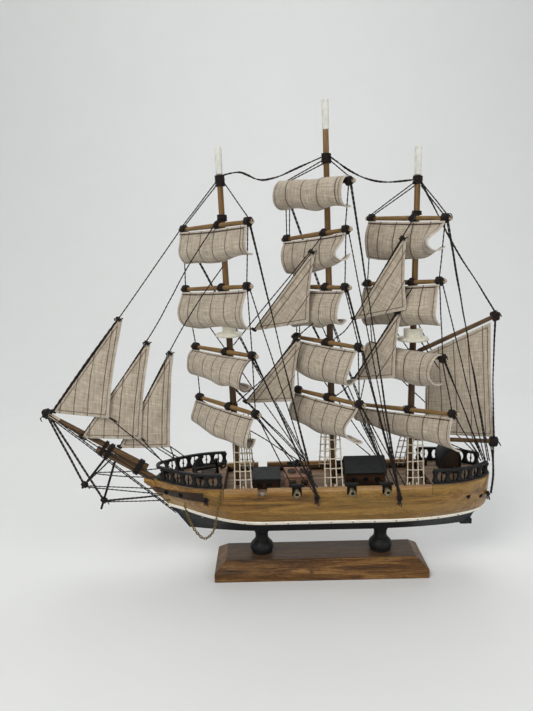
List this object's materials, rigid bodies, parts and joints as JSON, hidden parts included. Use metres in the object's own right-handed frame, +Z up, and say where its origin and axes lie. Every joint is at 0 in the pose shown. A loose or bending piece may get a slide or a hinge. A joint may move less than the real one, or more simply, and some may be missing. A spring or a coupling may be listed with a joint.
{
  "type": "model sailing ship",
  "caption": "Souvenir model of a square-rigged wooden sailing ship with striped cloth sails, thread rigging and deck fittings, on two turned posts and a bevelled board.",
  "frame": {"origin": "middle of the flat underside of the base board", "axes": "+X to the stern, -Y to port, +Z up along the masts"},
  "size_m": [0.3236, 0.0627, 0.3298],
  "materials": {
    "base_wood": "varnished, softly glossy",
    "black_paint": "satin black paint on turned and cut wood",
    "hull_wood": "varnished, visible grain",
    "rail_wood": "lightly varnished strip wood",
    "hatch_wood": "bare sanded wood",
    "iron": "blackened metal",
    "spar_wood": "stained dowel",
    "yard_wood": "bare round wood",
    "sailcloth": "plain weave with printed dark stripes"
  },
  "bodies": {
    "root": {"base_board": "base_wood", "post_fore": "black_paint", "post_aft": "black_paint", "lower_hull": "black_paint", "upper_hull": "hull_wood", "bulwark_port": "rail_wood", "bulwark_starboard": "rail_wood", "forecastle_rail_port": "black_paint", "forecastle_rail_starboard": "black_paint", "poop_rail_port": "black_paint", "poop_rail_starboard": "black_paint", "fore_deckhouse": "black_paint", "main_deckhouse": "black_paint", "poop_cabin": "black_paint", "cargo_hatch": "hatch_wood", "cannon_port_fore": "iron", "cannon_port_mid": "iron", "cannon_port_aft": "iron", "anchor": "iron", "bowsprit": "spar_wood", "jib_boom": "spar_wood", "fore_mast": "spar_wood", "main_mast": "spar_wood", "mizzen_mast": "spar_wood", "jib_1": "sailcloth", "jib_2": "sailcloth", "jib_3": "sailcloth", "staysail_1": "sailcloth", "staysail_2": "sailcloth", "staysail_3": "sailcloth", "staysail_4": "sailcloth"},
    "fore_yards": {"fore_yard_1": "yard_wood", "fore_sail_1": "sailcloth", "fore_yard_2": "yard_wood", "fore_sail_2": "sailcloth", "fore_yard_3": "yard_wood", "fore_sail_3": "sailcloth", "fore_yard_4": "yard_wood", "fore_sail_4": "sailcloth"},
    "main_yards": {"main_yard_1": "yard_wood", "main_sail_1": "sailcloth", "main_yard_2": "yard_wood", "main_sail_2": "sailcloth", "main_yard_3": "yard_wood", "main_sail_3": "sailcloth", "main_yard_4": "yard_wood", "main_sail_4": "sailcloth", "main_yard_5": "yard_wood", "main_sail_5": "sailcloth"},
    "mizzen_yards": {"mizzen_yard_1": "yard_wood", "mizzen_sail_1": "sailcloth", "mizzen_yard_2": "yard_wood", "mizzen_sail_2": "sailcloth", "mizzen_yard_3": "yard_wood", "mizzen_sail_3": "sailcloth", "mizzen_yard_4": "yard_wood", "mizzen_sail_4": "sailcloth"},
    "spanker_rig": {"gaff": "spar_wood", "boom": "spar_wood", "spanker": "sailcloth"}
  },
  "joints": [
    {"name": "fore_yards_swing", "type": "hinge", "parent": "root", "child": "fore_yards", "pos_m": [-0.059, 0, 0.066], "axis": [-0.0255, 0, 0.9997], "range_deg": [-6, 6]},
    {"name": "main_yards_swing", "type": "hinge", "parent": "root", "child": "main_yards", "pos_m": [0.0104, 0, 0.066], "axis": [-0.0159, 0, 0.9999], "range_deg": [-6, 6]},
    {"name": "mizzen_yards_swing", "type": "hinge", "parent": "root", "child": "mizzen_yards", "pos_m": [0.0658, 0, 0.066], "axis": [0.0094, 0, 1], "range_deg": [-6, 6]},
    {"name": "spanker_swing", "type": "hinge", "parent": "root", "child": "spanker_rig", "pos_m": [0.0658, 0, 0.066], "axis": [0.0094, 0, 1], "range_deg": [-10, 10]}
  ]
}
